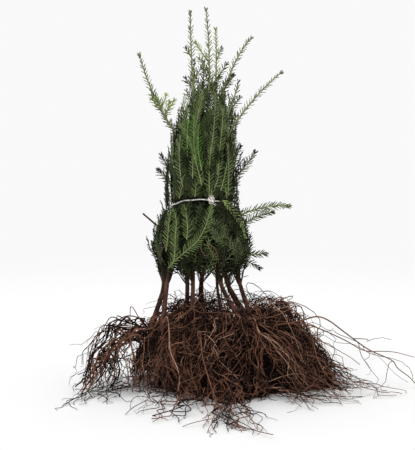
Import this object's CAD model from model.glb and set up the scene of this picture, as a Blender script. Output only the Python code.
"""The looks of a tied sheaf of yew saplings that stands on its own spread roots.

Bark-relief stems, needled twigs and shoots, tangled root strands and twisted twine take the places of the
plain solids of the frame. Metres, +Z up, with the origin on the flat underside of the root ball.
"""

import math

import bpy
import numpy as np
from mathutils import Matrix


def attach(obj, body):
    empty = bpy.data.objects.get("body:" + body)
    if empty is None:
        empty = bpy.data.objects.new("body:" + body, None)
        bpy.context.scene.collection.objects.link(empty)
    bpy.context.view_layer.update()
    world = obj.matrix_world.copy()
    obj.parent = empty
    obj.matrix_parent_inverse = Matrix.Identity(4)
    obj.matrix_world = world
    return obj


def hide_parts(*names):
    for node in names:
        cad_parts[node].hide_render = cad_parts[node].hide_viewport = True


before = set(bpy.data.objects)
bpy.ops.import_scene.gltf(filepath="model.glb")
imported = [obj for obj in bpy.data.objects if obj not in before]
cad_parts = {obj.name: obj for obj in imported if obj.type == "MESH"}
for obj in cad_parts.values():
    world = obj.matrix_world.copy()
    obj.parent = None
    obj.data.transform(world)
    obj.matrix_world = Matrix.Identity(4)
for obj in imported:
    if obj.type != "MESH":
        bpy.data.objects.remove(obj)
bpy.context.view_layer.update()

bl_info = {
    "name": "Tied yew saplings",
    "version": (1, 0, 0),
    "blender": (4, 5, 0),
    "location": "View3D > Sidebar > Yew",
    "description": "Needles, twigs, bark, roots and twine for a tied sheaf of yew saplings",
    "category": "Add Mesh",
}

BODY = "root"
SEED = 11
SEEDS = {  # of each part's own random draws
    "lower": 0, "upper": 1, "leaders": 3, "side_shoots": 4, "root_ball": 5, "root_spread": 6, "front": 7,
}
TAIL_SEEDS = (60, 61)
TURN = math.tau
GOLDEN_ANGLE = 2.39996
MILLIMETRES, TENTHS = 1000, 10000  # in a metre. Tables give places in the first and radii in the second

# --- The crown's shape, by the source's rule

CROWN_AXIS_X = -0.011
CROWN_LEAN, LEAN_FROM = 0.10, 0.47  # the axis leans to the right by this slope above that level
CROWN_OUTLINE = np.array(  # level, radius to the needles' tips
    ((205, 66), (245, 94), (285, 103), (325, 93), (352, 79), (366, 71), (412, 71), (505, 65), (560, 57),
     (585, 47), (614, 30))
) / MILLIMETRES
CORE_OUTLINE = np.array(  # level, radius of the crown's dark inside
    ((262, 10), (268, 40), (290, 60), (330, 56), (366, 46), (412, 42), (505, 36), (545, 26), (556, 8))
) / MILLIMETRES
CORE_RINGS, CORE_SIDES = 60, 64
TIE_LEVEL, TIE_SLOPE, TIE_REACH = 0.366, 0.30, 0.085
TIE_RADIUS = 0.0652  # of the twine's ring, to the middle of the twine
TIE_BAND = 0.0055  # half the height of the band in which the twine presses the needles in
TWINE_INNER, TWINE_OUTER = TIE_RADIUS - 0.0022, TIE_RADIUS + 0.003  # needles pass it inside or outside
TWINE_SEEN, TWINE_SEEN_WIDTH = math.radians(-110), math.radians(48)  # where no needle hides the twine
LOWER_LEVELS, UPPER_LEVELS = (0.228, 0.388), (0.342, 0.615)
LOWEST_LEVEL, FRONT_TOP = 0.2, 0.62  # limits for the needles of sprigs and of the front's shoots
UNDERSIDE_RISE = 0.020  # how much higher the crown's underside is at the front
STOREYS = (  # part; levels; heading of its first mass; twigs across a mass, and rows of them up it; masses
    (
        "lower", LOWER_LEVELS, math.radians(15), (10, 5),
        ("right", "rear_right", "rear_left", "left", "front_left", "front_right"),
    ),
    (
        "upper", UPPER_LEVELS, math.radians(30), (11, 6),
        ("rear_right", "rear_left", "front_left", "front_right"),
    ),
)
SPRIGS = {  # slender young ones on the surface: count, levels, lengths, size of needles, freshness
    "lower": (84, (0.245, 0.290), (0.040, 0.062), 0.74, -0.30),
    "upper": (130, (0.385, 0.520), (0.050, 0.095), 0.70, 0.0),
}
ROOM = 0.022  # that needles may reach past the crown's outline
INNER_SPACING = 1.35  # needles under the surface are this much further apart
SKIRT_TWIGS = 170  # round the crown's underside
ROUGH_HEADING = math.radians(-25)  # the lower crown's side where needles stand out in all directions
NEEDLE_GLOSS = {
    "shade": 0.02, "dark": 0.04, "olive": 0.05, "mid": 0.07,
    "pale": 0.10, "fresh": 0.10, "vivid": 0.10, "tip": 0.12,
}
LIGHT_KINDS = ("pale", "fresh", "vivid", "tip")  # needles of this year's green shoots
NEEDLE_SECTIONS = ((0.12, 0.85), (0.76, 0.80))  # share of the length, share of the half width
NEEDLE_KEEL = 0.42
NEEDLE_TAPER = ((0.0, 0.15, 0.7, 1.0), (0.70, 1.0, 0.95, 0.55))  # share of the twig, share of full length
SHORTEST_NEEDLE = 0.3  # share of full length
NEEDLE_LENGTHS, NEEDLE_WIDTHS = (0.78, 1.08), (0.85, 1.1)  # least and most, as shares of the full size
NEEDLE_BENDS = (-0.06, 0.16)  # least and most, as shares of the needle's length
RANK_TURN = math.radians(80)  # of each of the two ranks from the way out
TWIG_DEPTH = 0.0095  # of the crown's twigs under the outline, which the needles reach
LEAVING_SHARE = 0.42  # of a twig's length, over which it goes from its foot out to the outline
LIMB_ROOM = 0.0035  # that needles leave round stems, leaders and side shoots
LAYER_ORDER = np.array((0, 1, 2, 1, 0, 1, 2))  # of twigs at the surface, under it and deep inside
LAYER_SPREAD = np.array((1.0, 0.82, 0.62))  # how far out each layer lies
LAYER_FORKS = np.array((0.35, 0.8, 0.8))  # share of each layer's twigs that fork, on either side

# --- Stems, shoots and twigs

STEMS = {  # radius at the foot and at the tip, places from foot to tip
    "stem_left_outer": (56, 30, (-117, 8, 118), (-89, 12, 205), (-96, 12, 262), (-48, 8, 366),
        (-42, -4, 486)),
    "stem_left_inner": (56, 28, (-90, -26, 122), (-82, -28, 205), (-71, -26, 262), (-43, -20, 366),
        (-26, -18, 552)),
    "stem_mid_rear": (52, 28, (-42, 28, 138), (-41, 26, 205), (-40, 26, 262), (-34, 28, 366),
        (-28, 14, 552)),
    "stem_mid_front": (54, 28, (-33, -36, 138), (-29, -34, 205), (-28, -36, 262), (-20, -36, 366),
        (0, -24, 552)),
    "stem_rear": (58, 28, (-10, 54, 140), (-13, 50, 205), (-4, 46, 262), (-8, 37, 366), (-8, 26, 552)),
    "stem_thin": (34, 24, (31, -10, 142), (20, -10, 205), (17, -8, 262), (6, -4, 366), (12, -6, 552)),
    "stem_right_front": (50, 30, (74, -50, 134), (31, -45, 207), (18, -40, 262), (11, -34, 366),
        (21, -20, 474)),
    "stem_right_rear": (62, 28, (80, 36, 138), (42, 30, 207), (32, 26, 262), (16, 26, 366), (14, 18, 548)),
    "stem_right_outer": (54, 28, (92, -12, 136), (67, -10, 207), (55, -8, 262), (26, -2, 366), (20, 2, 552)),
}
FLARE = 0.30  # how much a stem widens at its foot
SLIM = 0.88  # the bark's hollows lie under the given radii, and its ridges at them
CUT_TWIG = (21, 17, (-74, -22, 310), (-100, -30, 333), (-127, -36, 357))

LEADERS = {  # foot, or the stem it goes on from; tip; bow; needles; then its twigs: per cent of the way,
    # heading, length, needles
    "leader_far_left": ("stem_left_outer", (-133, -34, 668), (-10, 0, -4), "fresh", (44, 60, 34, "tip"),
        (40, 190, 34, "tip"), (36, -60, 34, "tip"), (42, -120, 30, "tip"), (38, 20, 36, "tip"),
        (50, -150, 22, "fresh"), (22, 150, 30, "mid")),
    "leader_upright_left": ("stem_left_inner", (-34, -22, 752), (-1, 0, 0), "pale", (12, 150, 26, "olive"),
        (26, 190, 24, "mid"), (34, 20, 30, "olive"), (58, 175, 18, "mid")),
    "leader_tallest": ("stem_mid_front", (-3, -28, 756), (5, 0, 0), "pale", (52, 165, 46, "tip"),
        (40, 200, 34, "fresh"), (10, -60, 46, "mid"), (22, 10, 36, "olive"), (30, 240, 30, "olive")),
    "leader_right_of_middle": ("stem_thin", (16, -8, 720), (3, 0, 0), "tip", (42, 20, 36, "mid"),
        (64, 60, 30, "mid"), (20, -30, 42, "olive"), (30, 120, 40, "olive")),
    "leader_arching_right": ("stem_right_outer", (87, 6, 704), (-4, 0, 16), "pale", (14, 150, 40, "olive"),
        (28, 30, 30, "mid")),
    "leader_far_right": ("stem_right_front", (145, -34, 634), (-8, 0, 8), "pale", (26, 60, 36, "olive"),
        (36, 200, 26, "mid")),
    "leader_short_right": ("stem_right_rear", (49, 26, 630), (-4, 0, 0), "olive", (20, 30, 34, "olive"),
        (40, 190, 30, "olive")),
    "leader_dark_left": ("stem_mid_rear", (-27, 24, 660), (0, 0, 0), "olive", (16, 100, 30, "olive"),
        (35, 10, 30, "olive"), (55, 120, 22, "mid")),
    "leader_dark_middle": ("stem_rear", (-8, 38, 660), (0, 0, 0), "olive", (15, 80, 44, "olive"),
        (30, 0, 36, "olive"), (52, 180, 28, "mid")),
    "leader_edge_right": ((26, -28, 524), (60, -48, 615), (4, 0, 0), "olive", (40, 0, 30, "mid")),
}
LEADER_POINTS = 48
SIDE_SHOOTS = {  # foot, tip, bow, needles
    "side_shoot_right_high": ((32, 6, 404), (95, 10, 478), (2, 0, -4), "dark"),
    "side_shoot_right_second": ((28, 16, 430), (66, 32, 488), (2, 0, 0), "dark"),
    "side_shoot_right_level": ((37, -27, 338), (160, -40, 372), (2, 0, 12), "pale"),
    "side_shoot_right_under": ((50, 16, 316), (132, 20, 356), (2, 0, 8), "mid"),
    "side_shoot_right_low": ((46, -24, 264), (116, -30, 276), (0, 0, 4), "mid"),
    "side_shoot_right_lowest": ((38, 38, 268), (107, 44, 240), (0, 0, 4), "dark"),
    "side_shoot_left_high": ((-48, 24, 416), (-94, 34, 472), (-4, 0, -2), "dark"),
    "side_shoot_left_second": ((-53, -8, 402), (-97, -14, 442), (-3, 0, 0), "dark"),
    "side_shoot_rear_high": ((-18, 42, 430), (-24, 106, 505), (0, 4, -4), "mid"),
    "side_shoot_rear_low": ((3, 66, 290), (18, 134, 326), (0, 0, 6), "mid"),
}
LEADER_RADII, SHOOT_RADII, LEADER_TWIG_RADII = (0.0024, 0.0010), (0.0020, 0.0008), (0.0014, 0.0008)

FRONT_SHOOTS = (  # over the crown's front: needles, then heading in degrees and level of each place
    ("fresh", (-130, 254), (-121, 269), (-119, 291), (-120, 309), (-121, 330), (-130, 351)),
    ("fresh", (-124, 264), (-105, 289), (-95, 301), (-87, 319), (-81, 340), (-77, 353)),
    ("fresh", (-106, 303), (-106, 320), (-109, 339), (-114, 355)),
    ("fresh", (-130, 286), (-130, 309), (-132, 331), (-134, 349)),
    ("mid", (-94, 308), (-92, 332), (-94, 353)),
    ("tip", (-58, 366), (-51, 358), (-42, 344), (-36, 326), (-34, 308)),
    ("dark", (-66, 251), (-65, 281), (-62, 303)),
    ("olive", (-48, 262), (-46, 288), (-43, 312)),
    ("olive", (-22, 248), (-28, 276), (-32, 306)),
    ("olive", (-74, 306), (-69, 323), (-64, 343)),
    ("dark", (-114, 249), (-113, 270), (-110, 290)),
    ("mid", (-146, 256), (-144, 284), (-146, 310)),
    ("mid", (-62, 392), (-68, 440), (-70, 482), (-76, 519), (-89, 571), (-103, 600)),
    ("pale", (-79, 470), (-75, 502), (-74, 552), (-73, 593)),
    ("mid", (-62, 404), (-61, 465), (-61, 511), (-53, 554), (-40, 590)),
    ("mid", (-42, 395), (-32, 463), (-14, 500), (-4, 530)),
    ("pale", (-104, 420), (-104, 470), (-106, 515), (-104, 560)),
    ("fresh", (-66, 430), (-62, 480), (-60, 525), (-58, 565)),
    ("pale", (-120, 400), (-126, 440), (-130, 480), (-132, 510)),
    ("fresh", (-90, 400), (-93, 425), (-105, 479), (-112, 502), (-125, 521), (-141, 533)),
    ("fresh", (-79, 375), (-79, 429), (-77, 467), (-76, 498)),
    ("vivid", (-98, 455), (-105, 500), (-111, 548)),
    ("vivid", (-90, 440), (-97, 486), (-101, 530)),
    ("vivid", (-112, 470), (-117, 505), (-121, 540)),
    ("mid", (-84, 430), (-88, 486), (-92, 540)),
    ("mid", (-22, 336), (-25, 362), (-22, 395), (-18, 425)),
    ("dark", (-44, 340), (-46, 364), (-44, 392), (-40, 420)),
    ("mid", (-52, 344), (-55, 366), (-56, 390), (-54, 412)),
    ("dark", (-8, 330), (-9, 360), (-7, 400), (-4, 430)),
    ("dark", (10, 330), (11, 362), (10, 400)),
    ("dark", (176, 330), (177, 362), (175, 398), (172, 425)),
    ("mid", (-172, 334), (-171, 364), (-174, 396), (-176, 420)),
    ("dark", (160, 330), (159, 362), (161, 400)),
    ("mid", (-114, 391), (-118, 442), (-121, 482)),
    ("fresh", (-48, 382), (-45, 442), (-48, 492)),
    ("mid", (-127, 376), (-133, 418), (-135, 459)),
    ("mid", (-98, 375), (-99, 416), (-101, 454)),
    ("mid", (-67, 376), (-69, 416), (-70, 463)),
    ("mid", (-120, 390), (-119, 412), (-117, 438)),
    ("olive", (-107, 388), (-105, 409), (-104, 430)),
    ("mid", (-95, 387), (-92, 408), (-91, 430)),
    ("fresh", (-61, 389), (-57, 412), (-51, 440), (-47, 464)),
    ("mid", (-54, 386), (-50, 404), (-45, 424)),
    ("pale", (-71, 394), (-65, 420), (-61, 452)),
    ("mid", (-112, 388), (-112, 404), (-111, 420)),
    ("mid", (-101, 386), (-99, 402), (-98, 418)),
    ("olive", (-72, 318), (-66, 340), (-62, 362)),
    ("dark", (-64, 322), (-58, 344), (-54, 366)),
    ("olive", (-58, 312), (-52, 334), (-48, 354)),
    ("mid", (-50, 322), (-46, 342), (-45, 360)),
    ("dark", (-71, 338), (-63, 356), (-59, 370)),
    ("olive", (-44, 306), (-41, 326), (-40, 344)),
    ("mid", (-64, 345), (-57, 358), (-52, 368)),
    ("dark", (-54, 330), (-49, 347), (-44, 357)),
    ("dark", (160, 372), (163, 398), (164, 425), (163, 450)),
    ("mid", (-175, 374), (-173, 400), (-172, 430), (-174, 456)),
    ("dark", (-164, 374), (-165, 396), (-166, 420), (-166, 446)),
    ("mid", (175, 380), (176, 405), (178, 435), (178, 462)),
    ("olive", (-155, 374), (-157, 398), (-160, 424), (-162, 444)),
    ("olive", (-168, 392), (-167, 420), (-166, 450), (-168, 478)),
)
FRONT_DEPTHS = {"fresh": -0.005, "pale": -0.003, "vivid": -0.005, "tip": -0.004}  # under the outline
FRONT_COMMON_DEPTH = 0.001  # of the other kinds
FRONT_RADII = (0.0011, 0.0006)
LEFT_FLANK_DEPTH = -0.001  # of shoots above the twine that head within 30 degrees of left
WAIST_HEADINGS = range(-140, -34, 5)  # short shoots that stand in a row on the twine
WAIST_KINDS = ("mid", "olive", "mid", "fresh", "olive")
BARE_TWIGS = (  # leafless curled twigs at the front of the crown's underside: radius, places
    (9, (-95, -50, 262), (-93, -66, 280), (-86, -78, 294), (-74, -86, 298)),
    (8, (-12, -92, 306), (-12, -102, 292), (-3, -106, 281), (10, -100, 288), (17, -98, 274), (14, -88, 252)),
    (8, (-2, -96, 304), (12, -104, 297), (19, -102, 282), (22, -86, 258)),
    (10, (-40, -60, 262), (-24, -74, 272), (-8, -84, 278), (4, -80, 276)),
)

# --- Roots

BALL_CENTRE, BALL_HALF_SIZE = np.array((0.045, 0.012, 0.0)), np.array((0.216, 0.166, 0.156))
BALL_SHOULDER = 3.4
BALL_FRONT_POWERS = (1.3, 0.9)  # left and right: 2 would be an ellipse, 1 a diamond
MAT_CENTRE, MAT_HALF_SIZE = np.array((0.060, 0.012, 0.0)), np.array((0.178, 0.128, 0.124))
MAT_RINGS, MAT_SIDES = 34, 96
MAT_HEAP = 0.022  # how much higher the roots heap up in the middle
MAT_VOIDS = -0.05  # roots are left out where the noise falls under this
MAT_HOLLOWS = np.array(  # dark places that few roots cross: place and radius
    ((-90, -110, 105, 26), (-77, -110, 130, 20), (130, -70, 84, 24), (126, -76, 56, 24), (33, -140, 132, 13),
     (0, -160, 46, 15), (60, -120, 142, 11), (-110, 100, 80, 20), (90, 130, 90, 22))
) / MILLIMETRES
REACH = ((np.array((-0.284, -0.402, 0.0)), -1), (np.array((0.437, 0.275, 0.3)), 1))  # no root goes past it
REACH_SPARE = 0.012  # roots that would pass it by more are left out
FLATTER_UNDER = 0.05  # level under which roots bend less up and down
ROOTLET_SHARE, THINNEST_ROOTLET = 0.52, 0.00036  # of its strand's radius; radius
ROOT_SHARES = {  # of dark, red-brown and tan roots
    "dark": (0.60, 0.36, 0.04),
    "deep": (0.55, 0.45, 0.00),
    "mixed": (0.47, 0.46, 0.07),
    "pale": (0.15, 0.50, 0.35),
}
ROOT_LOBES = (  # strands; corners of feet; corners of tips; rise; radii; colours; fall if not 0.85
    (19, (-150, -30, 98), (-112, 30, 124), (-252, -90, 2), (-196, 30, 28), (0, 22), (14, 22), "dark", 2.6),
    (8, (-146, -10, 108), (-116, 20, 126), (-262, -40, 2), (-232, 30, 60), (16, 36), (9, 14), "dark", 3.4),
    (14, (-216, -30, 52), (-198, 0, 78), (-266, -120, 2), (-180, 10, 12), (-4, 8), (9, 15), "dark", 1.3),
    (6, (-216, -30, 52), (-198, 0, 78), (-164, -80, 4), (-130, 40, 90), (-6, 10), (8, 14), "dark", 1.3),
    (7, (-160, -60, 10), (-130, 0, 30), (-280, -150, 2), (-200, -60, 4), (0, 6), (8, 13), "dark"),
    (6, (220, -80, 10), (290, -30, 30), (330, -100, 2), (400, 20, 5), (0, 12), (5, 9), "dark"),
    (8, (-150, 20, 90), (-110, 60, 120), (-270, 40, 2), (-200, 90, 10), (0, 20), (9, 16), "mixed", 2.0),
    (5, (-40, -170, 10), (20, -130, 40), (-110, -320, 2), (-30, -240, 5), (0, 6), (9, 15), "deep"),
    (34, (66, -40, 120), (100, 50, 144), (180, -60, 4), (260, 90, 60), (40, 86), (6, 12), "mixed"),
    (14, (100, -40, 70), (180, 60, 100), (270, -40, 2), (340, 80, 6), (0, 14), (6, 12), "mixed"),
    (2, (120, -40, 80), (180, 10, 100), (390, -40, 2), (434, 80, 12), (40, 70), (5, 8), "mixed"),
    (9, (88, -85, 112), (104, -75, 135), (92, -120, 4), (114, -102, 20), (0, 4), (9, 16), "deep"),
    (36, (70, -60, 125), (115, -20, 156), (185, -150, 4), (285, -40, 24), (0, 18), (5, 11), "mixed"),
    (18, (70, -60, 125), (100, -30, 150), (190, -130, 4), (270, -50, 24), (0, 14), (5, 10), "pale"),
    (14, (70, -20, 130), (110, 50, 150), (150, -20, 60), (210, 60, 110), (50, 80), (5, 10), "dark"),
    (9, (100, -110, 6), (160, -70, 20), (220, -150, 2), (300, -60, 3), (0, 4), (6, 10), "dark"),
    (20, (0, -150, 20), (70, -100, 60), (-14, -352, 2), (104, -230, 5), (0, 14), (8, 14), "deep"),
    (8, (-90, -120, 20), (-10, -80, 70), (-160, -250, 2), (-40, -150, 5), (0, 14), (8, 13), "dark"),
    (14, (90, -110, 20), (170, -50, 70), (120, -200, 2), (300, -80, 5), (0, 14), (5, 10), "dark"),
    (46, (-10, 50, 60), (90, 110, 140), (-30, 170, 2), (120, 266, 6), (0, 40), (7, 15), "mixed"),
    (42, (-90, 40, 60), (-20, 90, 130), (-170, 90, 2), (-40, 220, 6), (0, 40), (7, 15), "mixed"),
    (42, (90, 50, 60), (160, 90, 130), (150, 100, 2), (310, 210, 6), (0, 40), (7, 15), "mixed"),
    (56, (-115, -85, 116), (100, -40, 160), (-125, -105, 90), (120, -50, 150), (5, 34), (6, 14), "deep"),
    (44, (-100, -50, 120), (90, 50, 150), (-140, -70, 110), (140, 70, 150), (20, 60), (5, 12), "dark"),
    (18, (-60, -40, 140), (80, 50, 156), (-50, -50, 160), (100, 60, 196), (5, 30), (3, 7), "mixed"),
    (12, (72, -62, 128), (100, -40, 150), (200, -120, 4), (275, -50, 20), (0, 12), (6, 11), "pale"),
    (8, (10, -160, 10), (50, -130, 40), (10, -330, 2), (70, -260, 4), (0, 8), (8, 13), "deep"),
)
LONG_ROOTS = (  # the stoutest roots: colour, radius at the foot, rootlets, places
    ("red", 18, 3, (84, -20, 134), (112, -36, 132), (182, -40, 142), (221, -40, 151), (247, -40, 144),
     (278, -36, 119), (323, -30, 85), (368, -20, 62), (383, -20, 45), (413, -12, 23), (432, -10, 4)),
    ("red", 14, 3, (92, -10, 130), (180, -30, 136), (226, -30, 126), (280, -20, 101), (323, 0, 75),
     (359, 30, 69), (394, 50, 63), (430, 60, 52)),
    ("tan", 13, 4, (-88, -34, 140), (-81, -60, 149), (-75, -100, 123), (-66, -125, 102), (-59, -140, 70),
     (-57, -150, 34), (-56, -158, 4)),
    ("red", 13, 5, (-110, -10, 118), (-122, -60, 112), (-128, -86, 80), (-122, -100, 36), (-110, -120, 4)),
    ("red", 27, 5, (-98, -4, 140), (-120, -14, 130), (-146, -24, 124), (-152, -36, 100), (-148, -48, 56),
     (-150, -64, 10)),
    ("red", 15, 5, (-112, 6, 120), (-148, -10, 122), (-156, -30, 90), (-154, -46, 40), (-158, -60, 4)),
    ("tan", 12, 2, (78, -46, 148), (92, -60, 153), (101, -85, 128), (116, -90, 121), (135, -90, 109),
     (153, -85, 85), (183, -70, 58), (200, -50, 38), (239, 0, 10)),
    ("tan", 9, 2, (101, -85, 128), (124, -90, 105), (144, -100, 78), (148, -105, 55), (161, -100, 39),
     (172, -94, 8)),
    ("tan", 10, 8, (116, -90, 121), (148, -95, 81), (167, -96, 53), (182, -96, 32), (201, -86, 4)),
    ("red", 13, 6, (96, -30, 140), (126, -70, 126), (160, -80, 94), (200, -70, 56), (240, -56, 20),
     (290, -40, 4)),
    ("red", 16, 6, (-34, -36, 136), (-20, -100, 126), (-14, -160, 80), (10, -200, 26), (40, -280, 8),
     (106, -390, 4)),
    ("dark", 15, 5, (30, -60, 136), (40, -130, 112), (46, -176, 60), (40, -210, 14), (36, -350, 4)),
    ("red", 15, 5, (-114, 10, 118), (-146, 4, 148), (-176, 0, 146), (-214, -10, 112), (-240, -16, 60),
     (-256, -20, 6)),
    ("dark", 14, 5, (-116, 12, 116), (-176, 20, 118), (-222, 10, 106), (-250, -10, 74), (-252, -20, 50)),
    ("dark", 15, 6, (-118, 0, 112), (-180, -10, 106), (-216, -20, 70), (-200, -40, 30), (-276, -150, 4)),
)

# --- Twine, camera

KNOT_ANGLE = math.radians(-74)
KNOT_HALF_SIZE = (0.0056, 0.0070, 0.0080)
KNOT_TAILS = ((-0.001, -0.006, 0.008), (0.007, -0.008, -0.009))
KNOT_STRAND = 2.4  # the knot's strand in ply radii
PLY_OFFSET = 0.85  # of a ply's middle from the twine's, in ply radii
FRAYED_FIBRES = 70
CAMERA_PLACE = (0.0, -2.2, 0.5)
CAMERA_PITCH = math.radians(4.37)
CAMERA_LENS, CAMERA_SENSOR = 88.0, 36.0
FLOOR_SIDES, FLOOR_RINGS, FLOOR_LEVEL = 48, 8, -0.0004
GLOW_FROM, GLOW_TO = 0.5, 2.6  # distances between which the floor fades into its own glow
LAMP_WIDTH = math.radians(50)
LAMP_TURN = (math.radians(38), math.radians(-14), 0.0)


# --- Settings


def colour_of(name, default, description):
    return bpy.props.FloatVectorProperty(
        name=name, description=description, subtype="COLOR", default=default, min=0.0, max=1.0
    )


def length_of(name, default, description):
    return bpy.props.FloatProperty(
        name=name, description=description, default=default, min=0.0, unit="LENGTH", precision=4
    )


def number_of(name, default, description, kind=bpy.props.FloatProperty, **limits):
    return kind(name=name, description=description, default=default, **{"min": 0, **limits})


class CrownSettings(bpy.types.PropertyGroup):
    """Sizes and colours of the needles and twigs"""

    needle_length: length_of("Needle length", 0.0185, "Length of a full-grown needle")
    needle_width: length_of("Needle width", 0.0024, "Width of a full-grown needle")
    needle_spacing: length_of("Needle spacing", 0.0034, "Length of twig for each needle")
    twig_length: length_of("Twig length", 0.100, "Length of a twig in the crown")
    twig_radius: length_of("Twig radius", 0.0012, "Radius of a crown twig at its foot")
    shade: colour_of("Shaded needles", (0.003, 0.004, 0.002), "Needles under the crown's surface")
    dark: colour_of("Dark needles", (0.006, 0.010, 0.004), "Old needles inside and at the sides")
    olive: colour_of("Olive needles", (0.025, 0.032, 0.013), "Duller needles of the crown's rough side")
    mid: colour_of("Green needles", (0.024, 0.036, 0.013), "Needles in full light")
    fresh: colour_of("Fresh needles", (0.072, 0.102, 0.033), "This year's needles")
    pale: colour_of("Pale needles", (0.076, 0.098, 0.044), "Olive needles of the long shoots")
    vivid: colour_of("Vivid needles", (0.045, 0.104, 0.018), "Grass-green needles of a few young sprays")
    tip: colour_of("Young needles", (0.190, 0.245, 0.080), "Yellow-green needles of the youngest shoots")
    inside: colour_of("Inside", (0.002, 0.003, 0.002), "The shaded inside of the crown")


class WoodSettings(bpy.types.PropertyGroup):
    """Relief and colours of the bark"""

    relief: number_of(
        "Bark relief", 0.10, "Height of the bark's ridges, as a share of the stem's radius", max=0.5,
        subtype="FACTOR",
    )
    bark: colour_of("Bark", (0.028, 0.015, 0.012), "Bark between the flakes")
    flake: colour_of("Bark flakes", (0.115, 0.050, 0.036), "Reddish faces where bark has flaked")
    twig: colour_of("Twig", (0.030, 0.028, 0.014), "Brown-green twigs inside the crown")
    bare: colour_of("Bare twig", (0.100, 0.060, 0.038), "Leafless reddish twigs")
    green: colour_of("Green shoot", (0.150, 0.165, 0.075), "Green shoots of this year")


class RootSettings(bpy.types.PropertyGroup):
    """Number, size and colours of the roots"""

    mat_strands: number_of(
        "Mat strands", 1500, "Roots that run down over the root ball", bpy.props.IntProperty, min=10
    )
    crossing_strands: number_of(
        "Crossing strands", 420, "Thin roots that run round the ball", bpy.props.IntProperty, min=10
    )
    radius: length_of("Root radius", 0.00096, "Radius of a common root at its foot")
    dark: colour_of("Dark roots", (0.010, 0.005, 0.004), "Roots in the tangle's depth")
    red: colour_of("Red-brown roots", (0.095, 0.044, 0.028), "Roots with their skin on")
    tan: colour_of("Tan roots", (0.220, 0.130, 0.088), "Roots rubbed pale")
    inside: colour_of("Inside", (0.002, 0.001, 0.0008), "The shaded inside of the root mat")


class TwineSettings(bpy.types.PropertyGroup):
    """Thickness and colour of the twine"""

    ply_radius: length_of("Ply radius", 0.00072, "Radius of one of the twine's two plies")
    lay: length_of("Lay", 0.0085, "Length of twine in which its plies turn once")
    colour: colour_of("Twine", (0.90, 0.89, 0.83), "The twine's white")
    stain: colour_of("Twine stain", (0.74, 0.62, 0.55), "Pinkish soil stain on the knot")


class StageSettings(bpy.types.PropertyGroup):
    """Floor and light"""

    floor: colour_of("Floor", (0.70, 0.70, 0.70), "The plain pale floor")
    sky_strength: number_of("Sky strength", 0.95, "Strength of the even light all round")
    lamp_strength: number_of("Lamp strength", 2.2, "Strength of the soft lamp")


# --- Arrays of places


def metres(table, in_one=MILLIMETRES):
    """A table's whole millimetres, or tenths of one, as metres."""
    return np.array(table) / in_one


def unit(vectors):
    """Each vector divided by its own length."""
    return vectors / np.linalg.norm(vectors, axis=-1, keepdims=True).clip(1e-9)


def along(table, level):
    """The radius that a table of levels and radii gives at each level, straight between its rows."""
    return np.interp(level, table[:, 0], table[:, 1])


def axis_x(level):
    """Where the crown's axis stands: upright, then leaning to the right."""
    return CROWN_AXIS_X + CROWN_LEAN * np.clip(level - LEAN_FROM, 0.0, None)


def tie_slope(level):
    """How steeply levels fall towards the rear: as the twine does, and less with distance from it."""
    return TIE_SLOPE * np.clip(1.0 - np.abs(level - TIE_LEVEL) / TIE_REACH, 0.0, None)


def crown_point(angle, radius, level):
    """Places round the crown's axis, their levels lowered by the slope times the distance to the rear."""
    y = radius * np.sin(angle)
    x = axis_x(level) + radius * np.cos(angle)
    return np.stack(np.broadcast_arrays(x, y, level - tie_slope(level) * y), -1)


def crown_coordinates(places):
    """Angle, radius and level of places, the other way round from crown_point."""
    x, y, level = places[..., 0] - axis_x(places[..., 2]), places[..., 1], places[..., 2]
    for _ in range(5):
        level = places[..., 2] + tie_slope(level) * y
    return np.arctan2(y, x), np.hypot(x, y), level


def dome_point(angle, turn, lift, centre=BALL_CENTRE, half_size=BALL_HALF_SIZE):
    """Places over a full-shouldered dome: `turn` goes from 0 at its top to a quarter turn at its edge.

    The footprint is an ellipse at the rear, and drawn in between front and side by lower powers. The right
    side falls like a cone, from a little over half of its reach at the top.
    """
    x, y = np.cos(angle), np.sin(angle)
    power = np.where(y > 0, 2.0, np.where(x > 0, BALL_FRONT_POWERS[1], BALL_FRONT_POWERS[0]))
    dome = np.sin(turn) ** (2 / BALL_SHOULDER)
    cone = np.sin(turn) ** 0.25 * (0.55 + 0.48 * (1 - np.cos(turn)))
    right = np.clip(x, 0.0, 1.0)
    spread = (dome + (cone - dome) * right) * (np.abs(x) ** power + np.abs(y) ** power) ** (-1 / power)
    across = x * spread * (1 + 0.12 * right - 0.10 * np.clip(-x, 0.0, 1.0))
    way = np.stack(np.broadcast_arrays(across, y * spread * np.where(y > 0, 0.88, 1.0), np.cos(turn)), -1)
    return centre + way * (half_size + np.asarray(lift)[..., None])


def smooth_path(places, count):
    """A Catmull-Rom curve: in each span, the cubic through its two ends with its neighbours' slopes."""
    places = np.array((places[0], *places, places[-1]), float)
    at = np.linspace(0.0, len(places) - 3, count)
    span = np.minimum(at.astype(int), len(places) - 4)
    t = (at - span)[:, None]
    a, b, c, d = (places[span + step] for step in range(4))
    return b + ((c - a) * t + (2 * a - 5 * b + 4 * c - d) * t**2 + (3 * b - a - 3 * c + d) * t**3) / 2


def stem_places(name, count):
    """The smooth curve through a stem's places."""
    return smooth_path(metres(STEMS[name][2:]), count)


def limb_path(foot, tip, bow, count):
    """A straight line with a parabola of height `bow` at its middle, from a place or from a stem's tip."""
    if isinstance(foot, str):
        path = stem_places(foot, 60)
        foot = path[-1] + unit(path[-1] - path[-2]) * 0.0002
    else:
        foot = metres(foot)
    share = np.linspace(0.0, 1.0, count)[:, None]
    return foot + (metres(tip) - foot) * share + metres(bow) * (4 * share * (1 - share))


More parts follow.
